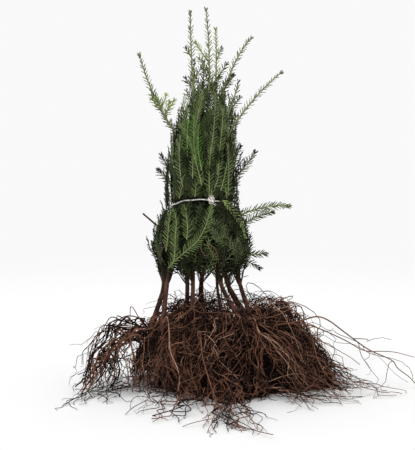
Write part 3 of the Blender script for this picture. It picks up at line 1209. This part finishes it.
class Roots:
    """Root strands of one part of the plant, kept apart by colour until they become pieces."""

    def __init__(self, seed):
        self.chance = np.random.default_rng((SEED, seed))
        self.strands = {"dark": [], "red": [], "tan": []}

    def dealt_kinds(self, count, mix):
        """A colour for each of `count` roots, by the mix's shares."""
        return self.chance.choice(tuple(self.strands), count, p=ROOT_SHARES[mix])

    def heights_kept(self, level):
        """How much of a root's bends up and down stays at each level: ever less towards the floor."""
        return np.clip(level / FLATTER_UNDER, 0.1, 1.0)

    def outside_hollows(self, paths, leave):
        """Which roots stay: all that pass no hollow, and a share `leave` of those that do."""
        gaps = np.linalg.norm(paths[:, :, None] - MAT_HOLLOWS[:, :3], axis=-1)
        crosses = (gaps < MAT_HOLLOWS[:, 3]).any(axis=(1, 2))
        return ~crosses | (self.chance.uniform(0, 1, len(paths)) < leave)

    def add(self, kinds, paths, foot_radius, tip_share, sides):
        """Strands of the given colours, each tapering from its foot radius to a share of it."""
        paths = paths.copy()
        inside = np.ones(len(paths), bool)
        for corner, side in REACH:
            past = np.clip(side * (paths - corner) * (1, 1, 0), 0.0, None).max(axis=1, keepdims=True)
            inside &= past.max(axis=(1, 2)) < REACH_SPARE
            paths -= side * past * np.linspace(0.0, 1.0, paths.shape[1])[:, None] ** 2 * 1.15
        taper = 1 + (tip_share - 1) * np.linspace(0.0, 1.0, paths.shape[1])
        radii = np.broadcast_to(np.reshape(foot_radius, (-1, 1)) * taper, paths.shape[:2])
        paths[..., 2] = np.maximum(paths[..., 2], radii * 0.9)
        for kind, made in self.strands.items():
            chosen = inside & (np.asarray(kinds) == kind)
            if chosen.any():
                made.append(tubes(paths[chosen], radii[chosen], sides))

    def add_rootlets(self, kinds, paths, radii, per_strand, lengths, sides=3, points=9):
        """Thinner roots that leave each strand at random places, aside and down."""
        chance = self.chance
        owner = np.repeat(np.arange(len(paths)), per_strand)
        count = len(owner)
        at = chance.integers(2, paths.shape[1] - 1, count)
        foot = paths[owner, at]
        heights = self.heights_kept(foot[:, 2])
        aside = chance.normal(0, 0.50, (count, 3))
        aside[:, 2] *= heights
        way = unit(foot - paths[owner, at - 1]) + aside + (0.0, 0.0, -0.35)
        way[:, 2] = np.minimum(way[:, 2], 0.12)
        length = chance.uniform(*lengths, count)[:, None]
        share = np.linspace(0.0, 1.0, points)
        twigs = foot[:, None] + unit(way)[:, None] * (length * share)[..., None]
        twigs[..., 2] += -0.25 * share**2 * length
        bends = wander(chance, count, points, length * 0.10, (0.6, 2.2))
        bends[..., 2] *= heights[:, None]
        thin = np.maximum(np.broadcast_to(radii, len(paths))[owner] * ROOTLET_SHARE, THINNEST_ROOTLET)
        self.add(np.asarray(kinds)[owner], twigs + bends, thin, tip_share=0.5, sides=sides)

    def add_kept(self, kept, kinds, paths, radii, tip_share, sides, rootlets=None):
        """The strands that stay, with rootlets if their number on each and their lengths are given."""
        kinds, paths, radii = kinds[kept], paths[kept], radii[kept]
        self.add(kinds, paths, radii, tip_share, sides)
        if rootlets:
            self.add_rootlets(kinds, paths, radii, *rootlets)

    def add_pieces(self, part, nodes):
        """Makes one piece of each colour of strand."""
        for kind, made in self.strands.items():
            if made:
                colour = getattr(bpy.context.scene.yew_roots, kind)
                finish = {"scale": 70.0, "share": 0.8, "roughness": 0.8, "bump": 0.8}
                skin = mottled(f"root_skin_{kind}", colour, 1.8, **finish)
                add_piece(f"{part}_{kind}", joined(made), skin, nodes)


class YEW_OT_root_ball(bpy.types.Operator):
    """The root ball: a dark inside, and roots that run down over it and round it"""

    bl_idname = "yew.root_ball"
    bl_label = "Root ball"

    def execute(self, context):
        settings = context.scene.yew_roots
        roots = Roots(SEEDS["root_ball"])
        self.add_collar_roots(roots)
        self.add_mat(roots, settings.mat_strands, settings.radius)
        self.add_crossing(roots, settings.crossing_strands, settings.radius * 0.6)
        roots.add_pieces("root_ball_strands", ["root_ball"])
        self.add_inside(settings)
        return {"FINISHED"}

    def add_collar_roots(self, roots, per_stem=11, points=28):
        """Stout roots out of each stem's foot that run down over the dome, fanned about its heading."""
        chance = roots.chance
        feet = np.repeat([metres(stem[2]) for stem in STEMS.values()], per_stem, axis=0)
        count = len(feet)
        x, y, _ = ((feet - BALL_CENTRE) / BALL_HALF_SIZE).T
        turn = np.arcsin(np.hypot(x, y).clip(0.02, 0.99) ** (BALL_SHOULDER / 2))[:, None]
        heading = np.arctan2(y, x)[:, None]
        goal = heading + chance.normal(0, 0.9, count)[:, None]
        last = np.radians(chance.uniform(70, 89, count))[:, None]
        lift = chance.uniform(-0.020, 0.008, count)[:, None]
        share = np.linspace(0.0, 1.0, points)
        around = heading + (goal - heading) * share**0.8
        paths = dome_point(around, turn + (last - turn) * share, lift * share)
        start = np.clip(1 - share * 3.0, 0.0, 1.0)[None, :, None] ** 2
        paths = paths * (1 - start) + (feet + (0.0, 0.0, 0.010))[:, None] * start
        paths += wander(chance, count, points, 0.0055)
        radii = chance.uniform(0.0010, 0.0023, count)
        kinds = roots.dealt_kinds(count, "deep")
        kept = roots.outside_hollows(paths, leave=0.25)
        roots.add_kept(kept, kinds, paths, radii, tip_share=0.45, sides=6, rootlets=(4, (0.03, 0.09)))

    def add_mat(self, roots, count, radius, points=15):
        """Common roots in several layers, each from a place on the dome down towards its edge."""
        chance = roots.chance
        heading = chance.uniform(0, TURN, count)[:, None]
        first = np.radians(chance.uniform(4, 62, count))[:, None]
        last = np.minimum(first + np.radians(chance.uniform(22, 60, count))[:, None], math.radians(90))
        sway = chance.normal(0, 0.35, count)[:, None]
        lift = chance.uniform(-0.040, 0.004, count)[:, None]
        share = np.linspace(0.0, 1.0, points)
        turn = first + (last - first) * share
        paths = dome_point(heading + sway * share, turn, lift + MAT_HEAP * np.cos(turn) ** 2)
        paths += wander(chance, count, points, 0.0085)
        radii = radius * chance.uniform(0.5, 1.35, count)
        kinds = roots.dealt_kinds(count, "mixed")
        kept = ripple(paths[:, points // 2], 0.060, 44) > MAT_VOIDS
        kept &= roots.outside_hollows(paths, leave=0.10)
        roots.add_kept(kept, kinds, paths, radii, tip_share=0.55, sides=4)

    def add_crossing(self, roots, count, radius, points=16):
        """Thin roots that run round the dome rather than down it, with tighter curls."""
        chance = roots.chance
        heading = chance.uniform(0, TURN, count)[:, None]
        level = np.radians(chance.uniform(8, 84, count))[:, None]
        share = np.linspace(0.0, 1.0, points)
        around = chance.normal(0, 0.8, count)[:, None] * share
        down = np.radians(chance.normal(4, 14, count))[:, None] * share
        turn = np.clip(level + down, 0.03, math.radians(89))
        lift = chance.uniform(-0.030, 0.006, count)[:, None] + MAT_HEAP * np.cos(turn) ** 2
        paths = dome_point(heading + around, turn, lift)
        paths += wander(chance, count, points, 0.0085, (1.0, 3.0))
        radii = radius * chance.uniform(0.6, 1.4, count)
        kept = roots.outside_hollows(paths, leave=0.06)
        roots.add_kept(kept, roots.dealt_kinds(count, "mixed"), paths, radii, tip_share=0.6, sides=3)

    def add_inside(self, settings):
        """A rugged dark dome, closed by a flat underside, pushed in and out by noise."""
        turn = np.radians(np.linspace(90, 2, MAT_RINGS))[:, None]
        angle = np.arange(MAT_SIDES) * (TURN / MAT_SIDES)
        places = dome_point(angle, turn, np.zeros((MAT_RINGS, MAT_SIDES)), MAT_CENTRE, MAT_HALF_SIZE)
        push = 1 + 0.10 * ripple(places, 0.045, 41) + 0.07 * ripple(places, 0.014, 42)
        places = MAT_CENTRE + (places - MAT_CENTRE) * push[..., None]
        places[..., 2] = np.maximum(places[..., 2], 0.0008)
        shade = mottled(
            "root_mat_inside", settings.inside, 2.6, scale=90.0, share=0.8, roughness=0.95, bump=1.0
        )
        add_piece("root_mat_inside", closed_grid(places), shade, ["root_ball"])


class YEW_OT_root_spread(bpy.types.Operator):
    """The lobes of roots that spread from the ball over the floor, and the stoutest long roots"""

    bl_idname = "yew.root_spread"
    bl_label = "Root spread"

    def execute(self, context):
        roots = Roots(SEEDS["root_spread"])
        for count, *lobe in ROOT_LOBES:
            corners, (rise, radii, mix, *fall) = lobe[:4], lobe[4:]
            self.add_lobe(roots, count, metres(corners), metres(rise), metres(radii, TENTHS), mix, *fall)
        for kind, radius, rootlets, *places in LONG_ROOTS:
            radius = metres(radius, TENTHS)
            path = smooth_path(metres(places), 44)[None]
            path = path + wander(roots.chance, 1, 44, 0.004, (1.0, 5.0))
            roots.add([kind], path, radius, tip_share=0.45, sides=7)
            roots.add_rootlets(["red" if kind == "tan" else kind], path, radius, rootlets, (0.03, 0.09))
        masses = sorted(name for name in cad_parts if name.startswith("root_mass_"))
        roots.add_pieces("root_spread", masses)
        return {"FINISHED"}

    def add_lobe(self, roots, count, corners, rise, radii, mix, fall=0.85, points=22):
        """Arching roots from random places in one box to random places in another.

        Their level falls by the `fall` power of the way gone, so a high power keeps them up till they droop.
        """
        chance = roots.chance
        foot = chance.uniform(*corners[:2], (count, 3))[:, None]
        way = chance.uniform(*corners[2:], (count, 3))[:, None] - foot
        share = np.linspace(0.0, 1.0, points)
        arch = share * (1 - share) ** 1.2 * 4.4 * chance.uniform(*rise, count)[:, None]
        level = foot[..., 2] + way[..., 2] * share**fall + arch
        paths = foot + way * share[:, None]
        paths[..., 2] = level
        most = 1.5 if fall < 1 else 0.9
        size = 0.012 * np.clip(np.linalg.norm(way, axis=-1) / 0.12, 0.4, most)
        bends = wander(chance, count, points, size, (1.0, 4.4))
        bends[..., 2] *= roots.heights_kept(level)
        paths += bends
        radii = chance.uniform(*radii, count)
        kinds = roots.dealt_kinds(count, mix)
        kept = roots.outside_hollows(paths, leave=0.12)
        roots.add_kept(kept, kinds, paths, radii, tip_share=0.65, sides=4, rootlets=(1, (0.02, 0.060)))


# --- Twine


def loop_ahead(places):
    """The way ahead at each point of a closed loop: from the point before it to the point after it."""
    return unit(np.roll(places, -1, axis=0) - np.roll(places, 1, axis=0))


def plies(middle, side, up, turn, radius):
    """The middles of two plies, opposite each other, wound about a line by `turn`."""
    for phase in (0.0, math.pi):
        wound = side * np.cos(turn + phase) + up * np.sin(turn + phase)
        yield middle + wound * radius * PLY_OFFSET


class YEW_OT_twine(bpy.types.Operator):
    """The two-ply twine round the crown, its knot and its two frayed tails"""

    bl_idname = "yew.twine"
    bl_label = "Twine"

    def execute(self, context):
        twine = context.scene.yew_twine
        white = mottled("twine_white", twine.colour, 0.82, scale=300.0, share=0.7, roughness=0.75, bump=0.6)
        stained = mottled(
            "twine_knot", twine.colour, twine.stain, scale=160.0, share=0.8, roughness=0.8, bump=0.8
        )
        angle = np.linspace(0, TURN, 900, endpoint=False)
        slack = 0.0012 * np.sin(3 * angle + 0.8) + 0.0006 * np.sin(11 * angle)
        ring = crown_point(angle, TIE_RADIUS + slack * 0.4, TIE_LEVEL + slack)
        surface = self.closed_plies(ring, twine.ply_radius, twine.lay)
        add_piece("twine_ring", surface, white, ["twine_tie"])
        knot = crown_point(KNOT_ANGLE, TIE_RADIUS + 0.002, np.float64(TIE_LEVEL))
        parts = [self.knot_surface(knot, twine.ply_radius * KNOT_STRAND)]
        for seed, reach in zip(TAIL_SEEDS, KNOT_TAILS):
            parts += self.tail_surfaces(knot, np.array(reach), twine.ply_radius, seed)
        add_piece("twine_knot", joined(parts), stained, ["twine_tie"])
        return {"FINISHED"}

    def closed_plies(self, ring, radius, lay):
        """Two plies wound about a closed ring. Each is a circle carried along a helix about the ring."""
        turns = round(np.linalg.norm(ring - np.roll(ring, 1, axis=0), axis=-1).sum() / lay)
        ahead = loop_ahead(ring)
        side = unit(np.cross((0.0, 0.0, 1.0), ahead))
        up = np.cross(ahead, side)
        turn = (TURN * turns * (np.arange(len(ring)) / len(ring)))[:, None]
        out = circle(side, up, 7) * radius
        return joined([ring_grid(ply[:, None] + out) for ply in plies(ring, side, up, turn, radius)])

    def knot_surface(self, middle, radius):
        """A trefoil of twine, squeezed into the knot's size."""
        t = np.linspace(0, TURN, 120, endpoint=False)[:, None]
        out = np.array((math.cos(KNOT_ANGLE), math.sin(KNOT_ANGLE), 0.0))
        side = np.array((-out[1], out[0], 0.0))
        size = np.array(KNOT_HALF_SIZE) / 3.4
        places = (
            middle
            + side * (np.sin(t) + 2 * np.sin(2 * t)) * size[1]
            + np.array((0.0, 0.0, 1.0)) * (np.cos(t) - 2 * np.cos(2 * t)) * size[2]
            + out * (-1.6 * np.sin(3 * t)) * size[0]
        )
        ahead = loop_ahead(places)
        across = unit(np.cross(ahead, out))
        return ring_grid(places[:, None] + circle(across, np.cross(across, ahead), 8) * radius)

    def tail_surfaces(self, knot, reach, radius, seed):
        """A tail that runs out of the knot and frays into a brush of fibres."""
        chance = np.random.default_rng((SEED, seed))
        share = np.linspace(0.0, 1.0, 24)[:, None]
        path = knot + reach * share * 0.8 + np.array((0.0, -0.003, 0.0)) * (4 * share * (1 - share))
        ahead, side, up = (part[0] for part in frames_along(path[None]))
        tail = tubes(np.stack([*plies(path, side, up, share * TURN * 2.4, radius)]), radius, 7)
        ways = unit(ahead[-1] + chance.normal(0, 0.6, (FRAYED_FIBRES, 3)))
        steps = np.linspace(0.0, 1.0, 7)[None, :, None]
        fibres = path[-3] + ways[:, None] * steps * chance.uniform(0.004, 0.0075, (FRAYED_FIBRES, 1, 1))
        fibres = fibres + wander(chance, FRAYED_FIBRES, 7, 0.0008)
        return [tail, tubes(fibres, 0.00030, 3)]


# --- Stage


class YEW_OT_stage(bpy.types.Operator):
    """The plain pale floor, the soft light and the camera"""

    bl_idname = "yew.stage"
    bl_label = "Stage"

    def execute(self, context):
        scene, stage = context.scene, context.scene.yew_stage
        self.add_floor(stage)
        scene.world = bpy.data.worlds.new("studio")
        scene.world.use_nodes = True
        tree = scene.world.node_tree
        feed(tree, tree.nodes["Background"], {"Color": (1.0,) * 4, "Strength": stage.sky_strength})
        lamp = bpy.data.lights.new("soft_lamp", "SUN")
        lamp.energy = stage.lamp_strength
        lamp.angle = LAMP_WIDTH
        in_scene("soft_lamp", lamp).rotation_euler = LAMP_TURN
        camera = bpy.data.cameras.new("camera")
        camera.lens = CAMERA_LENS
        camera.sensor_width = CAMERA_SENSOR
        scene.camera = in_scene("camera", camera)
        scene.camera.location = CAMERA_PLACE
        scene.camera.rotation_euler = (math.pi / 2 - CAMERA_PITCH, 0.0, 0.0)
        scene.view_settings.view_transform = "Standard"
        return {"FINISHED"}

    def add_floor(self, stage):
        """A wide flat disc, worked out as rings that double in size."""
        angle = np.arange(FLOOR_SIDES) * (TURN / FLOOR_SIDES)
        radius = 0.5 * 2.0 ** np.arange(FLOOR_RINGS)[:, None]
        places = radius * np.cos(angle), radius * np.sin(angle), FLOOR_LEVEL
        places = np.stack(np.broadcast_arrays(*places), -1)
        corners, quads, fans = closed_grid(places)
        surface = corners[:-1], quads[:, ::-1], fans[:FLOOR_SIDES, (0, 2, 1)]
        mesh_object("floor", surface, self.floor_paper(stage), False)

    def floor_paper(self, stage):
        """Matt paper with a faint grain, which glows as bright as the sky far from the plant."""
        grain = {"scale": 3.0, "share": 0.6, "roughness": 0.9, "bump": 0.0, "depth": 0.02, "gloss": 0.0}
        material = mottled("floor_paper", stage.floor, 0.985, **grain)
        tree = material.node_tree
        shader, place = tree.nodes["Principled BSDF"], tree.nodes["Texture Coordinate"].outputs["Object"]
        distance = add_node(tree, "VectorMath", {0: place}, operation="LENGTH")
        glow = {"From Min": GLOW_FROM, "From Max": GLOW_TO, "Value": distance.outputs["Value"]}
        glow = add_node(tree, "MapRange", glow, interpolation_type="SMOOTHSTEP").outputs["Result"]
        paper = shader.inputs["Base Color"].links[0].from_socket
        fade = {"B": (0.0, 0.0, 0.0, 1.0), "Factor": glow, "A": paper}
        fade = add_node(tree, "Mix", fade, data_type="RGBA")
        strength = add_node(tree, "Math", {1: stage.sky_strength, 0: glow}, operation="MULTIPLY")
        light = {"Emission Color": (1.0,) * 4, "Emission Strength": strength.outputs[0]}
        feed(tree, shader, {"Base Color": fade.outputs["Result"], **light})
        return material


class YEW_PT_panel(bpy.types.Panel):
    """Pieces of the sheaf, with their sizes and colours"""

    bl_idname = "YEW_PT_panel"
    bl_label = "Tied yew saplings"
    bl_space_type = "VIEW_3D"
    bl_region_type = "UI"
    bl_category = "Yew"

    def draw(self, context):
        for name, group in SETTINGS.items():
            box = self.layout.box()
            box.label(text=group.__doc__)
            for setting in group.__annotations__:
                box.prop(getattr(context.scene, name), setting)
        for operator in OPERATORS:
            self.layout.operator(operator.bl_idname)


SETTINGS = {
    "yew_crown": CrownSettings,
    "yew_wood": WoodSettings,
    "yew_roots": RootSettings,
    "yew_twine": TwineSettings,
    "yew_stage": StageSettings,
}
OPERATORS = (
    YEW_OT_stems,
    YEW_OT_crown,
    YEW_OT_leaders,
    YEW_OT_side_shoots,
    YEW_OT_root_ball,
    YEW_OT_root_spread,
    YEW_OT_twine,
    YEW_OT_stage,
)
CLASSES = (*SETTINGS.values(), *OPERATORS, YEW_PT_panel)


def register():
    for kind in CLASSES:
        bpy.utils.register_class(kind)
    for name, group in SETTINGS.items():
        setattr(bpy.types.Scene, name, bpy.props.PointerProperty(type=group))


def unregister():
    for name in SETTINGS:
        delattr(bpy.types.Scene, name)
    for kind in reversed(CLASSES):
        bpy.utils.unregister_class(kind)


def main():
    register()
    bpy.ops.yew.stems()
    bpy.ops.yew.crown()
    bpy.ops.yew.leaders()
    bpy.ops.yew.side_shoots()
    bpy.ops.yew.root_ball()
    bpy.ops.yew.root_spread()
    bpy.ops.yew.twine()
    bpy.ops.yew.stage()


if __name__ == "__main__":
    main()
